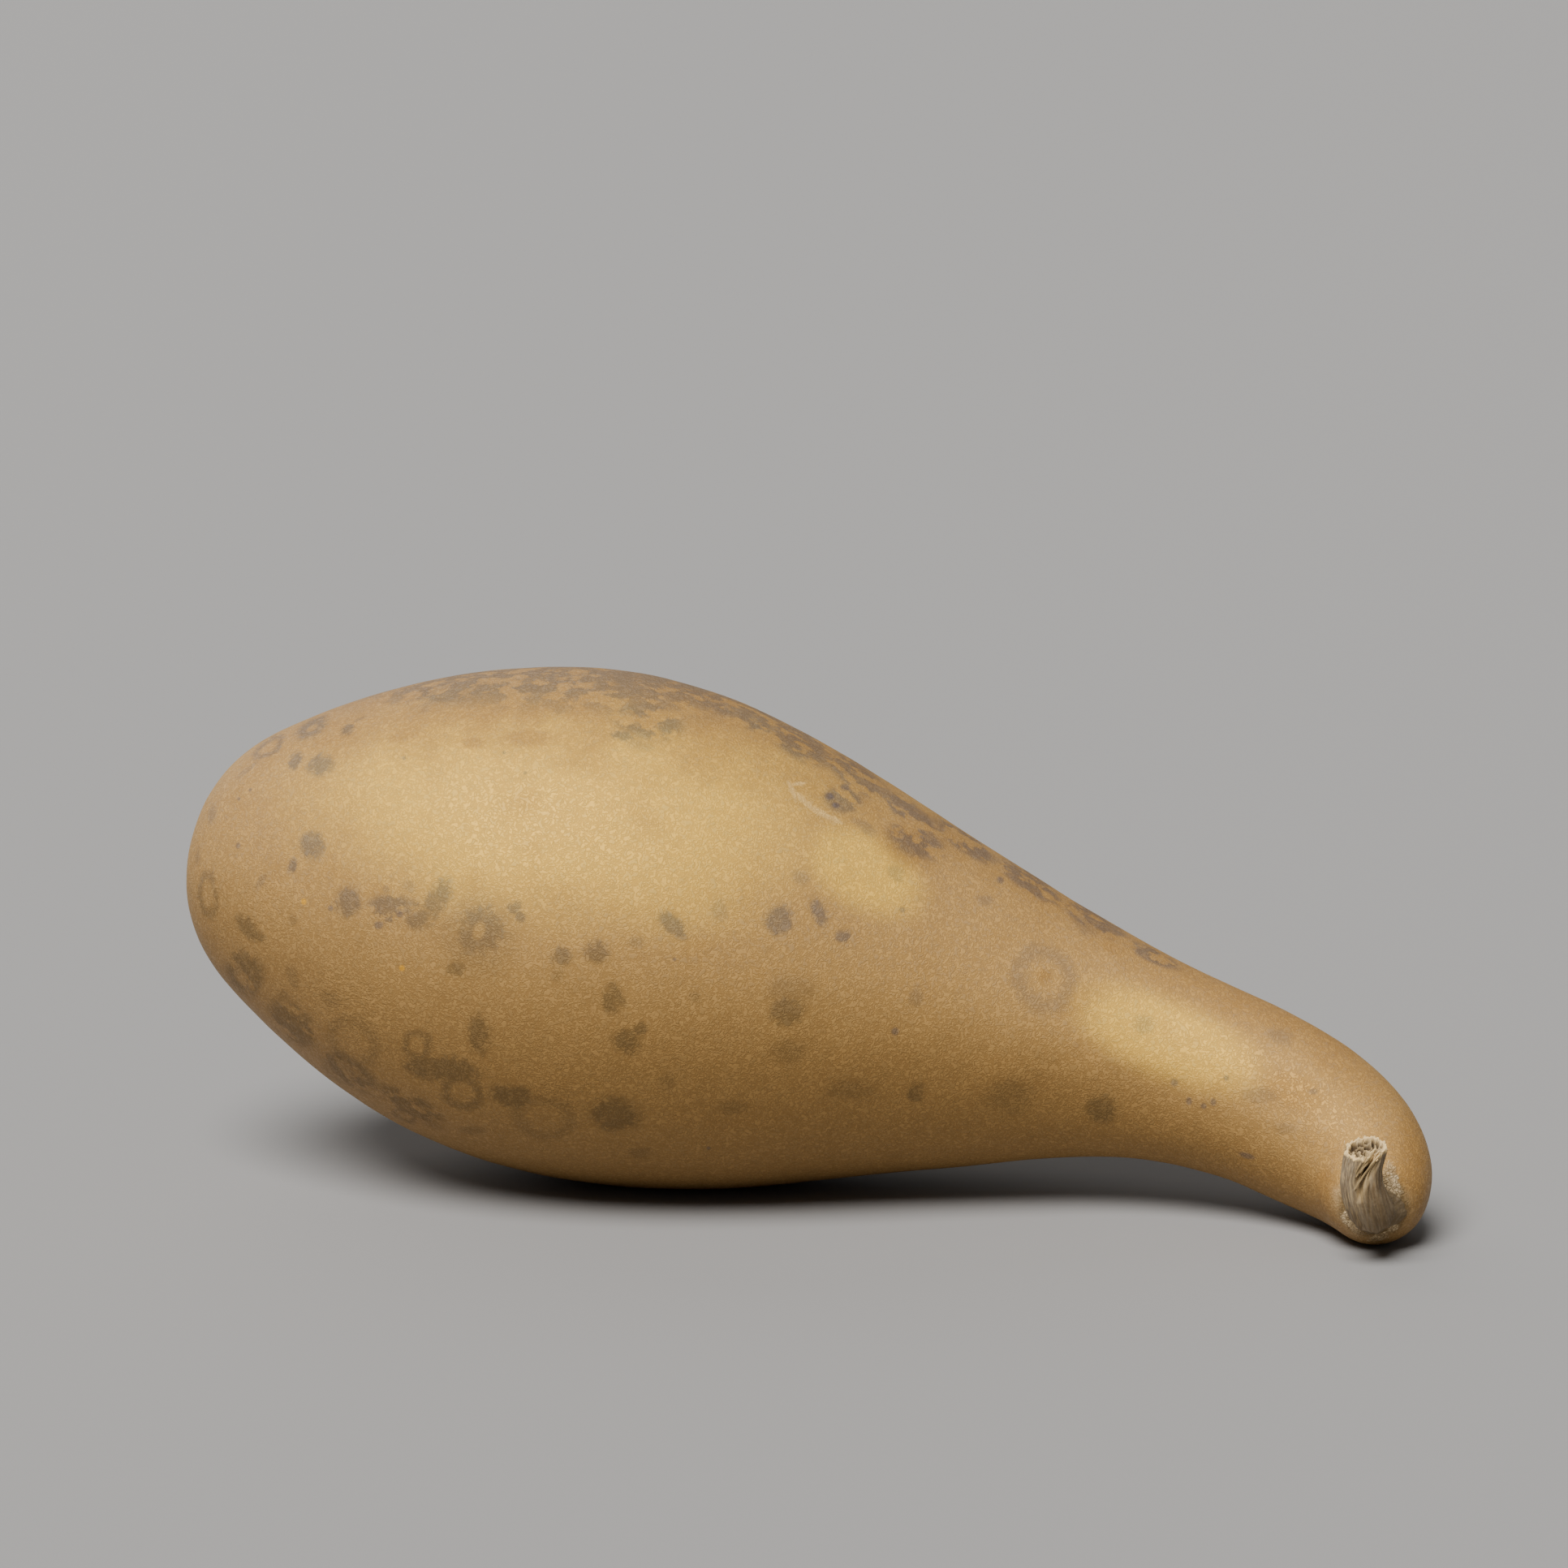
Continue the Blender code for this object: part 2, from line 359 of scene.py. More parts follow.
# Hollows in the torn pith: place across the cut, half sizes and depth in millimetres
PITH_HOLLOWS = (
    (-2.5, 0.4, 0.85, 0.85, 2.4),
    (-2.3, 2.0, 0.80, 0.90, 2.0),
    (-0.9, 0.7, 0.65, 0.80, 2.8),
    (-1.9, -1.4, 0.55, 0.80, 1.8),
    (-0.7, 2.5, 0.70, 0.60, 2.2),
    (0.6, 1.4, 0.70, 0.95, 2.8),
    (-0.3, -1.0, 0.60, 0.75, 2.6),
    (0.6, 3.2, 0.50, 0.50, 1.7),
    (1.8, 2.3, 0.33, 1.50, 2.4),
    (1.7, -0.3, 0.55, 0.90, 2.2),
    (2.7, 2.0, 0.32, 1.20, 1.9),
    (2.8, -0.6, 0.45, 0.80, 1.5),
    (0.7, -1.9, 0.50, 0.70, 2.4),
    (3.5, 0.8, 0.30, 0.60, 1.0),
    (-0.9, -2.8, 0.45, 0.60, 1.6),
    (-3.4, -0.8, 0.35, 0.60, 1.2),
)
# Clefts that run down from the cut: angle at the cut and slant in degrees, share of the axis
# that they reach down, half width in degrees and depth in millimetres. A negative depth is a lip.
CLEFTS = (
    (288, 34, 0.37, 9.5, 3.2),
    (271, 24, 0.28, 5.5, 1.9),
    (309, 30, 0.26, 5.0, 1.0),
    (302, 42, 0.38, 5.5, -0.45),
    (279, 30, 0.30, 4.0, -0.35),
    (320, 26, 0.20, 4.0, 0.7),
    (225, 8, 0.25, 3.5, 0.4),
    (345, 12, 0.28, 3.5, 0.5),
    (100, 10, 0.35, 5.0, 0.8),
    (40, -8, 0.30, 4.0, 0.6),
    (160, 6, 0.30, 4.0, 0.6),
)
# The torn area round the main cleft, with its half width in degrees
TORN_AREA = (290, 34, 0.42, 27)
# Loose strands: angle in degrees and share of the axis at the foot and at the tip, how far the
# foot and the tip stand out from the stem, and the half widths of both, in millimetres
STRANDS = (
    (184, 0.79, 180, 1.03, -0.10, 0.70, 0.20, 0.12),
    (257, 0.84, 288, 1.03, -0.20, -1.10, 0.15, 0.36),
    (246, 0.71, 307, 1.00, -0.15, -0.45, 0.08, 0.36),
    (247, 0.80, 274, 0.99, -0.20, -0.40, 0.10, 0.24),
    (275, 0.90, 297, 1.04, -0.80, -1.30, 0.16, 0.32),
    (290, 0.93, 311, 1.03, -0.50, -0.90, 0.16, 0.28),
    (236, 0.74, 258, 0.96, -0.15, -0.05, 0.08, 0.15),
    (262, 0.86, 292, 0.97, -1.20, -1.50, 0.16, 0.30),
)
STRAND_SIDES = 7
STRAND_CUTS = 14


def tone(name, description, default, most=1):
    """A setting for a colour."""
    return FloatVectorProperty(name=name, description=description, subtype="COLOR", size=4,
                               min=0, max=most, default=default)


def length(name, description, default, least=0):
    """A setting for a length in metres."""
    return FloatProperty(name=name, description=description, unit="LENGTH",
                         subtype="DISTANCE", min=least, default=default)


class GourdSkinSettings(bpy.types.PropertyGroup):
    """Colours and sizes of the dry skin"""

    # tan is both the skin's paler tone at random and the tone of the painted highlights
    tan: tone("Tan", "Paler tone of the clean skin", (0.840, 0.500, 0.090, 1))
    golden: tone("Golden", "Deeper tone of the clean skin", (0.490, 0.285, 0.096, 1))
    orange: tone("Orange", "Tone of the warm areas", (0.400, 0.215, 0.064, 1))
    # painted shade: the darker, browner tone laid where the skin faces down
    painted_shade_below: tone("Underside", "Browner tone that the skin turns to below",
                    (0.335, 0.193, 0.070, 1))
    # painted light: the marks' tint comes as a lit copy for skin that faces up and a copy in
    # painted shade for skin that faces down
    stain: tone("Stain", "Tint by which the grey-brown marks darken the skin",
                (0.460, 0.560, 1.120, 1), 2)
    stain_in_painted_shade: tone("Shaded stain", "Tint of the marks where the skin faces down",
                       (0.520, 0.560, 0.680, 1))
    silver: tone("Silver", "Tone of the pale flaky crust beside the stem",
                 (0.780, 0.600, 0.360, 1))
    crust_reach: length("Crust reach", "How far the corky crust spreads round the stem",
                        0.0034, 0.0001)
    grain: length("Grain", "Distance between the wrinkles of the leathery skin",
                  0.0010, 0.0002)
    swelling: length("Swelling", "Height of the skin's soft dents", 0.00018)


class GourdStemSettings(bpy.types.PropertyGroup):
    """Colours and sizes of the torn stem"""

    grey: tone("Grey", "Weathered outside of the stem", (0.288, 0.222, 0.143, 1))
    brown: tone("Brown", "Darker strands of the stem", (0.160, 0.103, 0.050, 1))
    torn: tone("Torn", "Fresher brown round the cleft", (0.270, 0.180, 0.077, 1))
    cream: tone("Cream", "Torn fibres of the cut end", (0.800, 0.560, 0.255, 1))
    # painted shade: the colour laid into the stem's hollows, cracks and clefts
    dark_marks_and_painted_shade: tone("Dark", "Depth of the hollows and clefts", (0.070, 0.042, 0.018, 1))
    foot: tone("Foot", "Corky foot on the skin", (0.178, 0.122, 0.060, 1))
    rib_height: length("Rib height", "How far each rib stands out", 0.00020)
    skirt: length("Skirt", "How far the foot spreads over the skin", 0.0028)


class GourdStageSettings(bpy.types.PropertyGroup):
    """Floor and lights"""

    floor: tone("Floor", "Tone of the plain floor", (0.29, 0.28, 0.27, 1))
    key: FloatProperty(
        name="Key light", description="Strength of the wide lamp above the front", min=0,
        default=5.4)
    back: FloatProperty(
        name="Back light", description="Strength of the weak lamp behind", min=0, default=0.7)
    sky: FloatProperty(
        name="Surroundings", description="Strength of the even light from all round", min=0,
        default=0.12)


class Wire:
    """One output of a node. Sums with it add Math nodes to the same material."""

    def __init__(self, recipe, socket):
        self.recipe = recipe
        self.socket = socket

    def sum(self, operation, *values):
        sockets = dict(enumerate(values))
        return self.recipe.node("Math", {"operation": operation}, sockets)

    def __add__(self, other):
        return self.sum("ADD", self, other)

    def __radd__(self, other):
        return self.sum("ADD", other, self)

    def __sub__(self, other):
        return self.sum("SUBTRACT", self, other)

    def __rsub__(self, other):
        return self.sum("SUBTRACT", other, self)

    def __mul__(self, other):
        return self.sum("MULTIPLY", self, other)

    def __rmul__(self, other):
        return self.sum("MULTIPLY", other, self)

    def __abs__(self):
        return self.sum("ABSOLUTE", self)

    def most(self, other):
        return self.sum("MAXIMUM", self, other)

    def least(self, other):
        return self.sum("MINIMUM", self, other)

    def fade(self, start, end, low=0.0, high=1.0):
        """Low at the start, high at the end, and a soft step between them."""
        settings = {"interpolation_type": "SMOOTHSTEP"}
        sockets = {0: self, 1: start, 2: end, 3: low, 4: high}
        return self.recipe.node("MapRange", settings, sockets)


class Recipe:
    """The nodes of one material."""

    def __init__(self, name):
        self.material = bpy.data.materials.new(name)
        self.material.use_nodes = True
        self.tree = self.material.node_tree
        self.shader = self.tree.nodes["Principled BSDF"]

    def feed(self, socket, value):
        """Link a wire to a socket, or set the socket's own value."""
        if isinstance(value, Wire):
            self.tree.links.new(value.socket, socket)
        else:
            socket.default_value = value

    def node(self, kind, settings, sockets, output=0):
        """A node of a kind, with its settings and then its sockets' values or links."""
        made = self.tree.nodes.new("ShaderNode" + kind)
        for name, value in settings.items():
            setattr(made, name, value)
        for name, value in sockets.items():
            self.feed(made.inputs[name], value)
        return Wire(self, made.outputs[output])

    def finish(self, color, roughness, normal):
        """Link what changes over the surface to the shader."""
        self.feed(self.shader.inputs["Base Color"], color)
        self.feed(self.shader.inputs["Roughness"], roughness)
        self.feed(self.shader.inputs["Normal"], normal)
        return self.material

    def places(self):
        """Places on the surface in millimetres."""
        place = self.node("TexCoord", {}, {}, "Object")
        return self.node("Mapping", {}, {"Vector": place, "Scale": (1 / MM,) * 3})

    def attribute(self, name, output="Fac"):
        """What was stored on the mesh under a name."""
        return self.node("Attribute", {"attribute_name": name}, {}, output)

    def noise(self, place, period, detail=2.0, twist=0.0, output="Fac"):
        """Soft noise with a period in millimetres."""
        sockets = {"Vector": place, "Scale": 1 / period, "Detail": detail, "Distortion": twist}
        return self.node("TexNoise", {}, sockets, output)

    def mix(self, share, first, second, blend="MIX"):
        """Two colours mixed by a share."""
        settings = {"data_type": "RGBA", "blend_type": blend}
        return self.node("Mix", settings, {0: share, 6: first, 7: second}, 2)

    def vector(self, operation, *values):
        """A sum on vectors."""
        return self.node("VectorMath", {"operation": operation}, dict(enumerate(values)))

    def shaken(self, place, *shakes):
        """Places moved about by noise of given periods and widths, in millimetres."""
        for period, width in shakes:
            drift = self.noise(place, period, 1.0, 0.0, "Color")
            drift = self.vector("SUBTRACT", drift, (0.5, 0.5, 0.5))
            place = self.vector("MULTIPLY_ADD", drift, (width,) * 3, place)
        return place

    def relief(self, height):
        """Bumps from a height in millimetres."""
        return self.node("Bump", {}, {"Height": height, "Distance": MM})


def smooth_curve(stations, place):
    """Smooth curve through rows of numbers, read at places from 0 to the last row's number."""
    rows = np.asarray(stations, float)
    rows = np.vstack([2 * rows[0] - rows[1], rows, 2 * rows[-1] - rows[-2]])
    first = np.minimum(place.astype(int), len(rows) - 4)
    u = (place - first)[:, None]
    a, b, c, d = (rows[first + step] for step in range(4))
    return 0.5 * (2 * b + (c - a) * u + (2 * a - 5 * b + 4 * c - d) * u**2
                  + (3 * b - a - 3 * c + d) * u**3)


def unit(vectors):
    """The same vectors with a length of one."""
    return vectors / np.linalg.norm(vectors, axis=-1, keepdims=True)


def soft_step(values, start, end):
    """Zero before the start, one after the end, and smooth between them."""
    share = np.clip((values - start) / (end - start), 0, 1)
    return share * share * (3 - 2 * share)


def noise_at(points, period, seed=0.0):
    """Soft noise from -1 to 1 at each point."""
    shift = Vector((seed, 1.7 * seed, -seed))
    return np.array([noise.noise(Vector(point) / period + shift) for point in points])


def read_points(mesh):
    """The mesh's vertices as an array, in millimetres."""
    points = np.empty(3 * len(mesh.vertices))
    mesh.vertices.foreach_get("co", points)
    return points.reshape(-1, 3) / MM


def read_normals(mesh):
    """The directions that the mesh's vertices face."""
    normals = np.empty(3 * len(mesh.vertices))
    mesh.vertex_normals.foreach_get("vector", normals)
    return normals.reshape(-1, 3)


def write_points(mesh, points):
    """Move the mesh's vertices, given in millimetres."""
    mesh.vertices.foreach_set("co", (points * MM).ravel())
    mesh.update()


def store(mesh, name, values):
    """Keep a number or a vector for each vertex under a name."""
    kind, field = ("FLOAT", "value") if values.ndim == 1 else ("FLOAT_VECTOR", "vector")
    layer = mesh.attributes.new(name, kind, "POINT")
    layer.data.foreach_set(field, values.ravel())


def add_piece(name, mesh, material, replaced=None):
    """Show a finished mesh as a piece that rides on the gourd."""
    mesh.shade_smooth()
    mesh.materials.clear()
    mesh.materials.append(material)
    piece = bpy.data.objects.new(name, mesh)
    bpy.context.scene.collection.objects.link(piece)
    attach(piece, "root")
    if replaced:
        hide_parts(replaced)
    return piece


def fine_copy(node, levels):
    """A smooth and finely divided copy of a CAD node's mesh."""
    bm = bmesh.new()
    bm.from_mesh(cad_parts[node].data)
    bmesh.ops.remove_doubles(bm, verts=bm.verts, dist=0.001 * MM)
    bmesh.ops.join_triangles(bm, faces=bm.faces, angle_face_threshold=0.7,
                             angle_shape_threshold=0.7)
    coarse = bpy.data.meshes.new(node + "_coarse")
    bm.to_mesh(coarse)
    bm.free()
    holder = bpy.data.objects.new(node + "_coarse", coarse)
    bpy.context.scene.collection.objects.link(holder)
    divide = holder.modifiers.new("Divide", "SUBSURF")
    divide.levels = levels
    divide.render_levels = levels
    evaluated = holder.evaluated_get(bpy.context.evaluated_depsgraph_get())
    fine = bpy.data.meshes.new_from_object(evaluated)
    bpy.data.objects.remove(holder)
    bpy.data.meshes.remove(coarse)
    fine.name = node
    return fine


def surface_of(mesh):
    """What rays and distances are measured against."""
    bm = bmesh.new()
    bm.from_mesh(mesh)
    tree = BVHTree.FromBMesh(bm)
    bm.free()
    return tree


def sight(x, y):
    """Direction in which the camera sees a pixel of the photograph."""
    middle = PHOTO_SIDE / 2
    direction = Vector((x - middle, middle - y, -FOCAL_PIXELS)).normalized()
    return CAMERA_TURN @ direction


def place_mark(mark, surface):
    """Middle of a mark on the skin, its turn, and its half sizes, in millimetres."""
    x, y, half_width, half_height, lean = mark
    hit, normal, _, distance = surface.ray_cast(CAMERA_PLACE, sight(x, y))
    if hit is None:
        raise RuntimeError(f"the mark at {x}, {y} misses the skin")
    scale = distance / FOCAL_PIXELS / MM
    facing = max(abs(normal.dot(sight(x, y))), LEAST_FACING)
    depth = 1.3 * max(half_width, half_height) / facing
    turn = CAMERA_TURN @ Matrix.Rotation(math.radians(lean), 3, "Z")
    halves = scale * Vector((half_width, half_height, depth))
    return hit / MM, turn, halves


def distances(points, surface):
    """How far each point lies from a surface, in millimetres."""
    return np.array([surface.find_nearest(Vector(point * MM))[3] for point in points]) / MM


def area_shares(marks, surface, points):
    """For each point, how deep in the nearest of some areas it lies, from 0 to 1."""
    deepest = np.zeros(len(points))
    for mark in marks:
        middle, turn, halves = place_mark(mark, surface)
        local = (points - np.array(middle)) @ np.array(turn) / np.array(halves)
        deepest = np.maximum(deepest, 1 - np.linalg.norm(local, axis=1))
    return deepest


def mark_cones(recipe, marks, surface, place, spread):
    """For each mark, a wire that falls from one in its middle to zero at its edge."""
    for mark in marks:
        middle, turn, halves = place_mark(mark, surface)
        sockets = {"Vector": place, "Location": middle, "Rotation": turn.to_euler(),
                   "Scale": spread * halves}
        local = recipe.node("Mapping", {"vector_type": "TEXTURE"}, sockets)
        yield recipe.node("TexGradient", {"gradient_type": "SPHERICAL"}, {0: local}, 1)


def spots(recipe, marks, surface, place, ragged=0.0):
    """Soft filled spots, each one in its middle, whose edges the grain breaks up."""
    deepest = None
    for cone in mark_cones(recipe, marks, surface, place, SPOT_SPREAD):
        deepest = cone if deepest is None else deepest.most(cone)
    return (deepest + deepest.fade(0.0, 0.12) * ragged).fade(0.08, 0.64)


def rings(recipe, marks, surface, place, ragged):
    """Soft rings, whose edges the grain breaks up."""
    nearest = None
    for cone in mark_cones(recipe, marks, surface, place, RING_SPREAD):
        away = abs(cone - RING_PLACE)
        nearest = away if nearest is None else nearest.least(away)
    return (nearest + ragged).fade(0.42, 0.0)


def far_marks(recipe, place, hidden, ragged):
    """Spots and rings at random places on the side that the photograph doesn't show."""
    masks = []
    for period, chosen, ring in FAR_MARKS:
        settings = {"voronoi_dimensions": "3D", "feature": "F1"}
        sockets = {"Vector": place, "Scale": 1 / period}
        away = recipe.node("TexVoronoi", settings, sockets, "Distance")
        draw = recipe.node("TexVoronoi", settings, sockets, "Color")
        parts = recipe.tree.nodes.new("ShaderNodeSeparateColor")
        recipe.feed(parts.inputs[0], draw)
        pick = Wire(recipe, parts.outputs[0]).fade(chosen, chosen + 0.02)
        size = Wire(recipe, parts.outputs[1]) * 0.16 + 0.10
        if ring:
            shape = (abs(away - size) + ragged * 0.40).fade(0.090, 0.0) * 0.5
        else:
            shape = (away - size - ragged * 0.4).fade(0.10, -0.10)
        masks.append(shape * pick)
    return masks[0].most(masks[1]).most(masks[2]) * hidden


def cork_tone(recipe, place, settings):
    """Corky tone where the stem spreads over the skin, alike on both."""
    crumbs = recipe.noise(place, 0.8, 3.0, 0.4).fade(0.48, 0.66)
    return recipe.mix(crumbs * 0.4, tuple(settings.foot), tuple(settings.grey))


def skin_material(settings, stem_settings, surface):
    """Dry leathery rind with grey-brown marks, warm areas and crust round the stem."""
    recipe = Recipe("dry_gourd_skin")
    place = recipe.places()
    shaken = recipe.shaken(place, (7.0, 2.4), (1.6, 1.2))
    grain_period = settings.grain / MM

    # leathery grain, and broader changes of tone
    grain = recipe.noise(place, grain_period, 2.0, 0.7)
    worms = abs(grain - 0.5).fade(0.0, 0.13)
    broad = recipe.noise(place, 42.0, 3.0)
    patchy = recipe.noise(shaken, 13.0, 3.0)
    speckle = recipe.noise(place, 2.3, 3.0, 0.4)
    ragged = (grain - 0.5) * 0.55 + (speckle - 0.5) * 0.35

    # tones of the clean skin, paler at random and in painted highlights, browner where it faces
    # up, and darker and browner where it faces down as painted shade
    pale_tone_and_painted_light = (recipe.attribute("pale_tone_and_painted_light") + (broad - 0.5) * 0.5).fade(0.0, 0.62)
    color = recipe.mix(pale_tone_and_painted_light, tuple(settings.golden), tuple(settings.tan))
    upward = recipe.attribute("upward") + (patchy - 0.5) * 0.35
    orange = recipe.attribute("orange").fade(0.0, 0.7) * 0.75
    orange = orange.most(patchy.fade(0.52, 0.75) * 0.35).most(upward.fade(0.66, 0.98) * 0.85)
    color = recipe.mix(orange, color, tuple(settings.orange))
    # painted shade: darker and browner where the skin faces down
    painted_shade_below = upward.fade(0.30, -0.30) * 0.85
    color = recipe.mix(painted_shade_below, color, tuple(settings.painted_shade_below))

    # marks that the photograph shows, and others like them on the far side
    dark_marks_and_painted_shade = spots(recipe, DARK_SPOTS, surface, shaken, ragged)
    faint = spots(recipe, FAINT_SPOTS, surface, shaken, ragged) * 0.55
    dark_rings = rings(recipe, DARK_RINGS, surface, shaken, ragged) * 0.85
    faint_rings = rings(recipe, FAINT_RINGS, surface, shaken, ragged) * 0.55
    mottle = recipe.attribute("mottle").fade(0.0, 0.5)
    clumps = recipe.noise(shaken, 5.0, 3.0) + ragged * 0.25
    mottle = mottle * clumps.fade(0.40, 0.52) * 0.95
    far = far_marks(recipe, shaken, recipe.attribute("far_side"), ragged)
    stain = dark_marks_and_painted_shade.most(faint).most(dark_rings).most(faint_rings).most(mottle).most(far)
    clear = spots(recipe, CLEAR_MARKS, surface, place) * 0.75
    stain = stain * speckle.fade(0.25, 0.60, 0.78, 1.05) * (1 - clear)
    # painted light: the marks take the lit tint where the skin faces up and the painted-shade tint
    # where it faces down
    tint = recipe.mix(upward.fade(0.42, -0.10), tuple(settings.stain),
                      tuple(settings.stain_in_painted_shade))
    color = recipe.mix(stain, color, tint, "MULTIPLY")
    specks = spots(recipe, SPECKS, surface, place)
    color = recipe.mix(specks * 0.8, color, tuple(settings.stain), "MULTIPLY")
    yellow = spots(recipe, YELLOW_SPECKS, surface, place)
    color = recipe.mix(yellow * 0.7, color, (0.80, 0.38, 0.02, 1))
    scratch = spots(recipe, SCRATCHES, surface, recipe.shaken(place, (2.0, 0.8)))
    color = recipe.mix(scratch * 0.40, color, (0.90, 0.62, 0.25, 1))

    # pale halo and dark crust round the stem
    halo = recipe.attribute("halo").fade(0.0, 0.7) * patchy.fade(0.36, 0.60, 0.15, 1.0)
    color = recipe.mix(halo * 0.38, color, tuple(settings.silver))
    crust = recipe.attribute("crust")
    crust = crust.fade(0.0, 0.2) * (crust + ragged * 0.9).fade(0.0, 0.75)
    flakes = recipe.attribute("silver")
    flakes = flakes.fade(0.0, 0.15) * (flakes + ragged * 1.6).fade(0.16, 0.46)
    cracks = recipe.node("TexVoronoi", {"feature": "DISTANCE_TO_EDGE"},
                         {"Vector": shaken, "Scale": 1 / CRACK_PERIOD}, "Distance")
    cracks = cracks.fade(0.12, 0.0)
    color = recipe.mix(crust * 0.9, color, cork_tone(recipe, place, stem_settings))
    flecked = flakes * speckle.fade(0.40, 0.58, 0.35, 1.0)
    color = recipe.mix(flecked, color, tuple(settings.silver))
    color = recipe.mix(flakes * cracks * 0.6, color, tuple(stem_settings.brown))

    # the grain darkens the skin between its wrinkles
    color = recipe.mix((1 - worms) * 0.70, color, (0.62, 0.58, 0.55, 1), "MULTIPLY")

    wrinkle_place = recipe.node("Mapping", {}, {"Vector": shaken, "Scale": (0.35, 0.35, 1.6)})
    wrinkles = recipe.noise(wrinkle_place, 2.4, 2.0, 0.5)
    wrinkled = recipe.attribute("wrinkled").fade(0.0, 0.6) * abs(wrinkles - 0.5).fade(0.0, 0.1)
    height = worms * 0.06 + patchy * 0.12 + wrinkled * 0.05 + crust * speckle * 0.15
    height = height + flakes * (speckle * 0.30 - cracks * 0.15)
    recipe.feed(recipe.shader.inputs["Specular IOR Level"], 0.9)
    recipe.feed(recipe.shader.inputs["Specular Tint"], (1.0, 0.58, 0.12, 1))
    roughness = 0.47 + (1 - worms) * 0.12 + crust * 0.30 - flakes * 0.10 + stain * 0.05
    return recipe.finish(color, roughness, recipe.relief(height))


def stem_material(settings):
    """Weathered fibres, torn cream pith, and painted shade in the hollows, cracks and clefts."""
    recipe = Recipe("dry_corky_stem")
    place = recipe.places()
    fibre = recipe.attribute("fibre", "Vector")
    streaks = recipe.noise(fibre, 0.75, 3.0, 0.3)
    broad = recipe.noise(fibre, 2.6, 2.0)
    crumbs = recipe.noise(place, 0.7, 3.0, 0.4)
    pale = recipe.attribute("pale")
    pith_hollow_and_painted_shade = recipe.attribute("pith_hollow_and_painted_shade")
    foot = recipe.attribute("foot")

    brown = (streaks * 0.6 + broad * 0.4).fade(0.40, 0.60)
    brown = brown * (1.0 - recipe.attribute("silver") * 0.7)
    color = recipe.mix(brown, tuple(settings.grey), tuple(settings.brown))
    lines = recipe.noise(fibre, 0.34, 2.0, 0.2)
    marked = recipe.attribute("silver") * 0.26 + 0.10
    color = recipe.mix(lines.fade(0.50, 0.62) * marked, color, tuple(settings.cream))
    color = recipe.mix(lines.fade(0.48, 0.38) * marked * 1.6, color, tuple(settings.brown))
    warm = recipe.attribute("warm") * 0.8
    color = recipe.mix(warm, color, tuple(settings.torn))
    color = recipe.mix(foot, color, cork_tone(recipe, place, settings))
    torn = pale * crumbs.fade(0.2, 0.55, 0.65, 1.0)
    color = recipe.mix(torn, color, tuple(settings.cream))
    # painted shade in the hollows, cracks and clefts
    color = recipe.mix(pith_hollow_and_painted_shade, color, tuple(settings.dark_marks_and_painted_shade))
    height = streaks * 0.12 + crumbs * (0.05 + pale * 0.06 + foot * 0.06)
    recipe.feed(recipe.shader.inputs["Specular IOR Level"], 0.3)
    return recipe.finish(color, 0.80 + crumbs * 0.12, recipe.relief(height))


def floor_material(settings):
    """Plain matt board."""
    recipe = Recipe("plain_floor")
    recipe.feed(recipe.shader.inputs["Base Color"], tuple(settings.floor))
    recipe.feed(recipe.shader.inputs["Roughness"], 0.9)
    return recipe.material


def stem_axis(share):
    """Middle, radius, direction, side and back of the stem at shares of its axis."""
    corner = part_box("dried_stem")[0] / MM
    stations = np.array(STEM_STATIONS) + (corner[0], corner[1], 0, 0)
    rows = smooth_curve(stations, np.linspace(0, len(stations) - 1, CURVE_SAMPLES))
    walked = np.concatenate([[0], np.cumsum(np.linalg.norm(np.diff(rows[:, :3], axis=0), axis=1))])
    walked /= walked[-1]
    run = np.gradient(rows[:, :3], walked, axis=0)
    middle = np.stack([np.interp(share, walked, column) for column in rows[:, :3].T], -1)
    along = unit(np.stack([np.interp(share, walked, column) for column in run.T], -1))
    middle += np.maximum(share - 1, 0)[:, None] * np.linalg.norm(run[-1]) * along
    side = unit(np.array((1.0, 0.0, 0.0)) - along[:, :1] * along)
    return middle, np.interp(share, walked, rows[:, 3]), along, side, np.cross(along, side)


def cleft_shape(share, angle, start, slant, reach, half_width):
    """How near each place is to a slanting cleft, from 0 to 1."""
    down = np.clip((1 - share) / reach, 0, 1)
    middle = np.radians(start - slant * down)
    away = np.degrees(np.angle(np.exp(1j * (angle - middle))))
    return (1 - down) ** 0.6 * np.exp(-(away / half_width) ** 2)


def cleft_depth(share, angle):
    """Depth of the clefts less the height of their lips, and the depth alone."""
    total = np.zeros(len(share))
    cut = np.zeros(len(share))
    for *line, half_width, depth in CLEFTS:
        shape = cleft_shape(share, angle, *line, half_width)
        total += depth * shape
        cut = np.maximum(cut, max(depth, 0) * shape)
    return total, cut


def hollow_depth(across, back):
    """Depth of the hollows in the pith at places across the cut, in millimetres."""
    depth = np.zeros(len(across))
    for x, y, half_width, half_back, deep in PITH_HOLLOWS:
        away = np.hypot((across - x) / half_width, (back - y) / half_back)
        depth = np.maximum(depth, deep * np.exp(-away**4))
    return depth


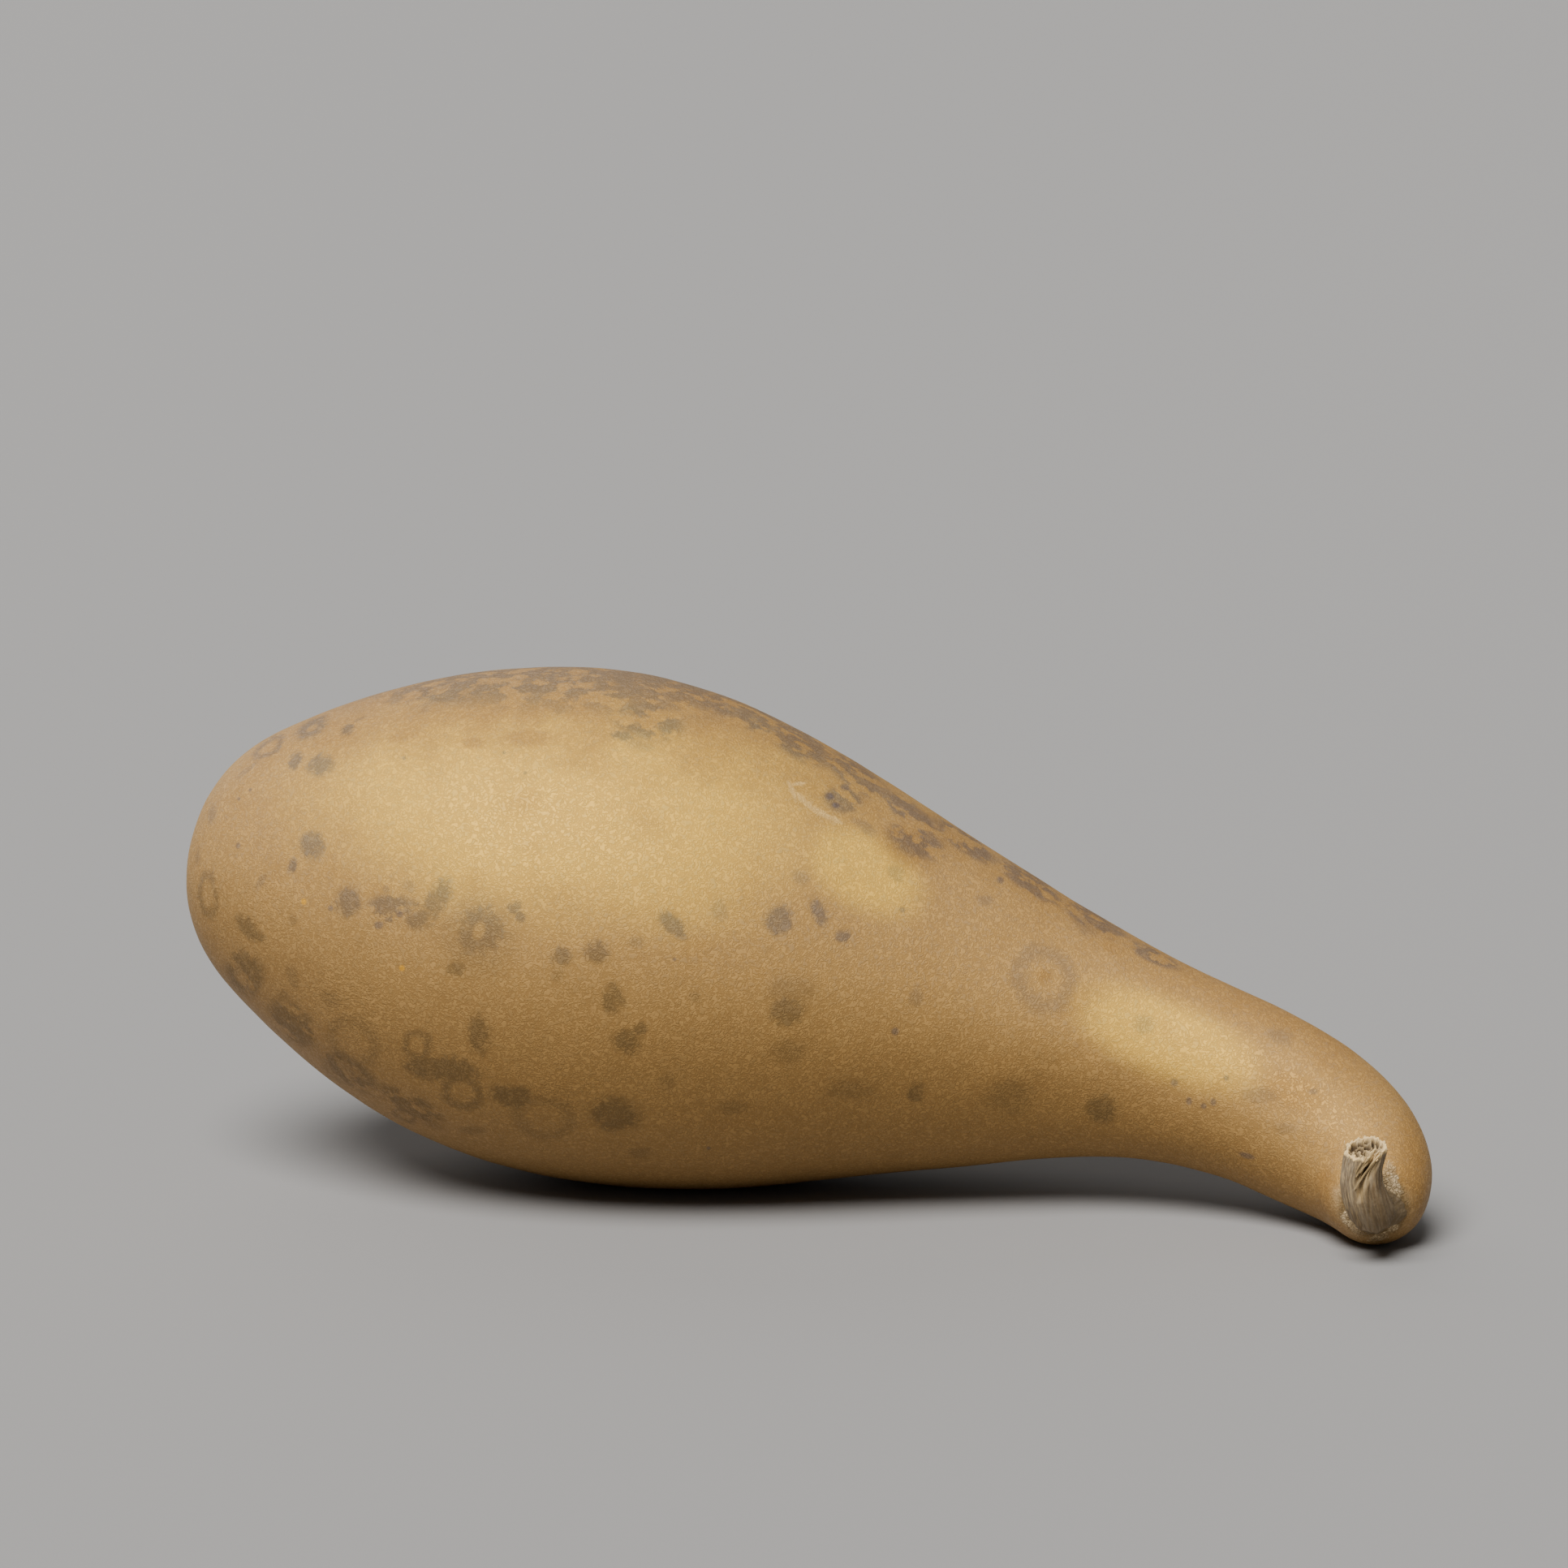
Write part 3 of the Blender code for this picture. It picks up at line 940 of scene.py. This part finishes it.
def round_tips(mesh):
    """Round off the mesh's two poles, which come out pointed where so many edges meet."""
    points = read_points(mesh)
    normals = read_normals(mesh)
    ends = np.empty(2 * len(mesh.edges), int)
    mesh.edges.foreach_get("vertices", ends)
    for tip in np.flatnonzero(np.bincount(ends) > POLE_EDGES):
        away = points - points[tip]
        height = away @ normals[tip]
        turn = np.array(Vector(normals[tip]).to_track_quat("Z", "Y").to_matrix())
        u, v = away @ turn[:, 0], away @ turn[:, 1]
        distance = np.hypot(u, v)
        terms = np.stack([np.ones(len(u)), u, v, u * u, u * v, v * v], -1)
        close = np.linalg.norm(away, axis=1) < 2 * TIP_RADIUS
        band = close & (distance > TIP_RADIUS)
        fit = np.linalg.lstsq(terms[band], height[band], rcond=None)[0]
        drop = (terms @ fit - height) * soft_step(distance, 1.3 * TIP_RADIUS, TIP_RADIUS)
        points += (drop * close)[:, None] * normals[tip]
    write_points(mesh, points)


def make_skin(settings):
    """The fruit's skin: the CAD node's shape, smoothed and given its soft dents and crust."""
    mesh = fine_copy("gourd_body", 2)
    round_tips(mesh)
    surface = surface_of(mesh)
    points = read_points(mesh)
    normals = read_normals(mesh)
    from_stem = distances(points, surface_of(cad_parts["dried_stem"].data))
    from_stem /= settings.crust_reach / MM
    crust = np.clip(1 - from_stem, 0, 1)
    areas = {
        "crust": crust,
        "halo": np.clip(1 - 0.5 * from_stem, 0, 1) * soft_step(normals[:, 2], 0.45, 0.10),
        "upward": normals[:, 2],
        "pale_tone_and_painted_light": area_shares(PAINTED_HIGHLIGHT_AREAS, surface, points),
        "mottle": area_shares(MOTTLED_AREAS, surface, points),
        "orange": area_shares(ORANGE_AREAS, surface, points),
        "wrinkled": area_shares(WRINKLED_AREAS, surface, points),
        "silver": area_shares(SILVER_AREAS, surface, points),
    }
    towards = unit(np.array(CAMERA_PLACE) / MM - points)
    facing = (normals * towards).sum(axis=1)
    hidden = soft_step(facing, 0.12, -0.10)
    areas["far_side"] = hidden

    # the top is mottled along its ridge, the hidden side has patches like the seen one's, and the
    # upper part of the hidden side is paler as painted light
    upward = normals[:, 2]
    ridge = 0.45 * soft_step(upward, 0.86, 0.98) * soft_step(np.abs(points[:, 0] + 20), 110, 70)
    clouds = soft_step(noise_at(points, 28.0, 11.0), 0.0, 0.35) * soft_step(upward, 0.10, 0.70)
    areas["mottle"] = np.maximum(areas["mottle"], np.maximum(ridge, 0.40 * hidden * clouds))
    # painted light: a paler tone on the upper part of the side turned from the camera, which lies
    # in shade
    turned = soft_step(facing, 0.40, -0.40)
    areas["pale_tone_and_painted_light"] = np.maximum(areas["pale_tone_and_painted_light"], 0.30 * turned * soft_step(upward, -0.1, 0.5))

    # soft dents below the CAD surface, and the raised crust round the stem
    dents = sum(share * noise_at(points, period, seed) for period, seed, share in DENTS)
    crumbs = CRUST_HEIGHT + CRUMB_HEIGHT * noise_at(points, CRUMB_PERIOD, 9.0)
    height = settings.swelling / MM * (dents - 1) + soft_step(crust, 0.1, 0.5) * crumbs
    points += (height * soft_step(points[:, 2], 0.0, CALM_HEIGHT))[:, None] * normals
    write_points(mesh, points)
    for name, values in areas.items():
        store(mesh, name, values)
    material = skin_material(settings, bpy.context.scene.gourd_stem, surface)
    return add_piece("gourd_skin", mesh, material, "gourd_body")


def make_stem(settings, surface):
    """The stem's stub: fibrous and ribbed, cleft and torn at the cut, spread over the skin."""
    bm = bmesh.new()
    bmesh.ops.create_uvsphere(bm, u_segments=STEM_SIDES, v_segments=STEM_RINGS, radius=1)
    ball = unit(np.array([vertex.co for vertex in bm.verts]))
    rings_share = np.arccos(np.clip(-ball[:, 2], -1, 1)) / math.pi
    angle = np.arctan2(ball[:, 1], ball[:, 0])
    steps, places, fullnesses = np.array(STEM_OUTLINE).T
    share = np.interp(rings_share, steps, places)
    fullness = np.interp(rings_share, steps, fullnesses)
    middle, radius, along, side, back = stem_axis(share)
    inside = rings_share > steps[INNER_RIM]

    # fibres run along the stem, so their noise is stretched that way
    fibre = np.stack([radius * np.cos(angle), radius * np.sin(angle), 4.0 * share], -1)
    wobble = noise_at(fibre, 4.0, 3.0)
    upright = soft_step(share, 0.08, 0.35)
    ribs = settings.rib_height / MM * np.cos(RIBS * angle + 1.5 * share + 1.4 * wobble)
    fine = 0.17 * noise_at(fibre, 0.95, 1.0) + 0.08 * noise_at(fibre, 0.45, 2.0)
    cracked = np.exp(-(noise_at(fibre, 1.5, 7.0) / 0.07) ** 2)
    cracked *= soft_step(noise_at(fibre, 3.1, 8.0), -0.1, 0.3) * upright
    cleft, cut = cleft_depth(share, angle)
    shape = ribs * upright + fine - 0.28 * cracked - cleft
    crumbling = np.stack([5 * np.cos(angle), 5 * np.sin(angle), 8 * share], -1)
    crumbled = 0.30 * noise_at(crumbling, 0.8)
    crumbled *= soft_step(rings_share, 0.71, 0.75)
    reach = fullness * (radius + np.where(inside, -cleft, shape) + crumbled)

    # the cut is slanted, torn round its rim and hollow in its pith
    across, deep = reach * np.cos(angle), reach * np.sin(angle)
    pith_hollow_and_painted_shade = hollow_depth(across + 0.25 * noise_at(fibre, 0.8, 4.0), deep)
    pith_hollow_and_painted_shade *= soft_step(rings_share, steps[PITH_EDGE] - 0.02, steps[PITH_EDGE] + 0.03)
    places_across = np.stack([across, deep, np.zeros(len(deep))], -1)
    torn = 0.55 * noise_at(places_across, 1.1, 6.0) + 0.25 * noise_at(places_across, 0.4, 2.0)
    near_cut = soft_step(share, 0.90, 1.0) * soft_step(rings_share, 0.70, 0.76)
    slope = CUT_SLOPES[0] * across + CUT_SLOPES[1] * deep
    lift = slope * share**6 + torn * near_cut - pith_hollow_and_painted_shade
    lift -= NOTCH_DEPTH * cleft_shape(share, angle, *CLEFTS[0][:3], NOTCH_WIDTH) * near_cut
    points = middle + lift[:, None] * along
    points += across[:, None] * side + deep[:, None] * back

    # the foot spreads out where it meets the skin
    points, near_skin = spread_foot(points, middle, share, surface, settings.skirt / MM)
    for vertex, point in zip(bm.verts, points):
        vertex.co = point * MM
    mesh = bpy.data.meshes.new("dried_stem")
    bm.to_mesh(mesh)
    bm.free()

    rim = soft_step(rings_share + 0.05 * crumbled, 0.730, 0.755)
    rim *= 1 - np.clip(pith_hollow_and_painted_shade / 1.2, 0, 1)
    rim *= 1 - 0.55 * soft_step(rings_share, 0.81, 0.86)
    lips = np.clip(cut / 0.9, 0, 1) * 0.35 + soft_step(-cleft, 0.12, 0.4) * 0.45
    # painted shade: darker in the pith's hollows, in the cracks and in the clefts below the cut
    dark_marks_and_painted_shade = np.clip(pith_hollow_and_painted_shade / 1.3, 0, 1) * 0.9 + 0.45 * cracked * (1 - near_cut)
    dark_marks_and_painted_shade += soft_step(cut, 0.6, 1.5) * 0.85 * (1 - near_cut)
    right_side = soft_step(np.cos(angle - math.radians(320)), -0.2, 0.8)
    low_side = 0.45 * right_side * upright * (1 - soft_step(share, 0.60, 0.85))
    foot = soft_step(near_skin + low_side, 0.10, 0.85)
    tones = {
        "fibre": fibre,
        "pale": np.clip(rim + lips * (1 - inside), 0, 1),
        "pith_hollow_and_painted_shade": np.clip(dark_marks_and_painted_shade, 0, 0.9),
        "foot": foot,
        "warm": cleft_shape(share, angle, *TORN_AREA),
        "silver": soft_step(np.cos(angle - math.radians(203)), 0.50, 0.90)
        * soft_step(share, 0.35, 0.75),
    }
    for name, values in tones.items():
        store(mesh, name, values)
    return mesh


def over_skin(point, surface):
    """How high a point stands over the skin, in millimetres, and the skin's direction there."""
    hit, normal, _, _ = surface.find_nearest(Vector(point * MM))
    away = (Vector(point * MM) - hit) / MM
    return math.copysign(away.length, away.dot(normal)), np.array(normal)


def spread_foot(points, middle, share, surface, spread):
    """Draw the stem out along the skin where they meet, and say how close each point is."""
    outward = unit(points - middle + 1e-9)
    moved = points.copy()
    near_skin = np.zeros(len(points))
    for row in np.flatnonzero(share < FOOT_SHARE):
        height, _ = over_skin(points[row], surface)
        close = min(max(1 - height / FOOT_REACH, 0), 1)
        uneven = 1 + 0.6 * noise.noise(Vector(points[row]) / FOOT_LOBES)
        downward = 1.15 - 0.75 * soft_step(outward[row, 2], 0.1, 0.7)
        moved[row] += spread * close**3 * uneven * downward * outward[row]
        height_after, normal = over_skin(moved[row], surface)
        moved[row] += (height - height_after) * close * normal
        near_skin[row] = min(max(1 - height / FOOT_TONE_REACH, 0), 1)
    return moved, near_skin * (1 - soft_step(share, 0.45, FOOT_SHARE))


def make_strand(strand):
    """A mesh of one loose strand, from its foot on the stem to its tip."""
    foot_angle, foot_share, tip_angle, tip_share, foot_out, tip_out, foot_half, tip_half = strand
    bm = bmesh.new()
    bmesh.ops.create_cone(bm, cap_ends=True, cap_tris=False, segments=STRAND_SIDES,
                          radius1=1.0, radius2=1.0, depth=1.0)
    long_edges = [edge for edge in bm.edges
                  if abs(edge.verts[0].co.z - edge.verts[1].co.z) > 0.5]
    bmesh.ops.subdivide_edges(bm, edges=long_edges, cuts=STRAND_CUTS)
    local = np.array([vertex.co for vertex in bm.verts])
    t = local[:, 2] + 0.5
    angle = np.radians(foot_angle + (tip_angle - foot_angle) * t)
    share = foot_share + (tip_share - foot_share) * t
    middle, radius, along, side, back = stem_axis(share)
    out = np.cos(angle)[:, None] * side + np.sin(angle)[:, None] * back
    around = np.cross(along, out)
    height = radius - 0.15 + foot_out + (tip_out - foot_out) * t**1.5
    height += 0.12 * np.sin(7 * t + foot_angle)
    ragged = 1.2 + 0.25 * np.sin(17 * t + 2 * foot_angle + np.sign(local[:, 0]))
    half = (foot_half + (tip_half - foot_half) * t) * ragged
    points = middle + height[:, None] * out
    points += half[:, None] * (1.25 * local[:, :1] * around - 0.5 * local[:, 1:2] * out)
    points += 0.3 * local[:, :1] * (t > 0.99)[:, None] * along
    for vertex, point in zip(bm.verts, points):
        vertex.co = point * MM
    bmesh.ops.recalc_face_normals(bm, faces=bm.faces)
    mesh = bpy.data.meshes.new("strand")
    bm.to_mesh(mesh)
    bm.free()
    return mesh


class GOURD_OT_skin(bpy.types.Operator):
    """Build the fruit's mottled leathery skin round the CAD node"""

    bl_idname = "gourd.skin"
    bl_label = "Gourd Skin"

    def execute(self, context):
        make_skin(context.scene.gourd_skin)
        return {"FINISHED"}


class GOURD_OT_stem(bpy.types.Operator):
    """Build the torn corky stem on the end of the neck"""

    bl_idname = "gourd.stem"
    bl_label = "Torn Stem"

    def execute(self, context):
        settings = context.scene.gourd_stem
        mesh = make_stem(settings, surface_of(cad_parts["gourd_body"].data))
        add_piece("torn_stem", mesh, stem_material(settings), "dried_stem")
        return {"FINISHED"}


class GOURD_OT_strands(bpy.types.Operator):
    """Build the loose strands in the stem's cleft and beside it"""

    bl_idname = "gourd.strands"
    bl_label = "Loose Strands"

    def execute(self, context):
        bm = bmesh.new()
        for strand in STRANDS:
            bm.from_mesh(make_strand(strand))
        mesh = bpy.data.meshes.new("stem_strands")
        bm.to_mesh(mesh)
        bm.free()
        points = read_points(mesh)
        store(mesh, "fibre", points * np.array((1.0, 1.0, 0.15)))
        store(mesh, "pale", 0.12 + 0.7 * soft_step(points[:, 2], 24.5, 28.5))
        store(mesh, "warm", np.ones(len(points)))
        material = bpy.data.materials["dry_corky_stem"]
        add_piece("stem_strands", mesh, material)
        return {"FINISHED"}


class GOURD_OT_stage(bpy.types.Operator):
    """Add the plain floor, the soft lights and the camera"""

    bl_idname = "gourd.stage"
    bl_label = "Floor, Lights and Camera"

    def execute(self, context):
        settings = context.scene.gourd_stage
        add_floor(settings)
        add_lights(settings)
        add_camera()
        return {"FINISHED"}


def add_floor(settings):
    """A wide flat floor under the gourd."""
    bm = bmesh.new()
    bmesh.ops.create_circle(bm, cap_ends=True, segments=96, radius=30)
    mesh = bpy.data.meshes.new("floor")
    bm.to_mesh(mesh)
    bm.free()
    mesh.materials.append(floor_material(settings))
    floor = bpy.data.objects.new("floor", mesh)
    bpy.context.scene.collection.objects.link(floor)


def add_lamp(name, towards, softness, strength):
    """A distant soft lamp in a direction from the gourd; its softness is its width in degrees."""
    light = bpy.data.lights.new(name, "SUN")
    light.angle = math.radians(softness)
    light.energy = strength
    lamp = bpy.data.objects.new(name, light)
    lamp.location = towards
    lamp.rotation_euler = Vector(towards).to_track_quat("Z", "Y").to_euler()
    bpy.context.scene.collection.objects.link(lamp)


def add_lights(settings):
    """A wide lamp above the front, a weak one behind, and pale surroundings."""
    add_lamp("key_lamp", (-0.25, -0.50, 0.83), 36, settings.key)
    add_lamp("back_lamp", (-0.35, 0.75, 0.55), 60, settings.back)
    world = bpy.data.worlds.new("studio")
    world.use_nodes = True
    background = world.node_tree.nodes["Background"]
    background.inputs["Color"].default_value = (0.92, 0.95, 1.0, 1)
    background.inputs["Strength"].default_value = settings.sky
    bpy.context.scene.world = world


def add_camera():
    """The camera that saw the photograph's view."""
    view = bpy.data.cameras.new("camera")
    view.sensor_width = SENSOR_WIDTH
    view.lens = SENSOR_WIDTH * FOCAL_PIXELS / PHOTO_SIDE
    camera = bpy.data.objects.new("camera", view)
    camera.location = CAMERA_PLACE
    camera.rotation_euler = CAMERA_TURN.to_euler()
    bpy.context.scene.collection.objects.link(camera)
    bpy.context.scene.camera = camera


class GOURD_PT_parts(bpy.types.Panel):
    """The gourd's pieces and their settings"""

    bl_idname = "GOURD_PT_parts"
    bl_label = "Dried Bottle Gourd"
    bl_space_type = "VIEW_3D"
    bl_region_type = "UI"
    bl_category = "Gourd"

    def draw(self, context):
        groups = (
            (context.scene.gourd_skin, ("gourd.skin",)),
            (context.scene.gourd_stem, ("gourd.stem", "gourd.strands")),
            (context.scene.gourd_stage, ("gourd.stage",)),
        )
        for settings, operators in groups:
            box = self.layout.box()
            for name in settings.__annotations__:
                box.prop(settings, name)
            for operator in operators:
                box.operator(operator)


CLASSES = (
    GourdSkinSettings,
    GourdStemSettings,
    GourdStageSettings,
    GOURD_OT_skin,
    GOURD_OT_stem,
    GOURD_OT_strands,
    GOURD_OT_stage,
    GOURD_PT_parts,
)


def register():
    for item in CLASSES:
        bpy.utils.register_class(item)
    bpy.types.Scene.gourd_skin = PointerProperty(type=GourdSkinSettings)
    bpy.types.Scene.gourd_stem = PointerProperty(type=GourdStemSettings)
    bpy.types.Scene.gourd_stage = PointerProperty(type=GourdStageSettings)


def unregister():
    del bpy.types.Scene.gourd_stage
    del bpy.types.Scene.gourd_stem
    del bpy.types.Scene.gourd_skin
    for item in reversed(CLASSES):
        bpy.utils.unregister_class(item)


def main():
    register()
    bpy.ops.gourd.skin()
    bpy.ops.gourd.stem()
    bpy.ops.gourd.strands()
    bpy.ops.gourd.stage()


if __name__ == "__main__":
    main()
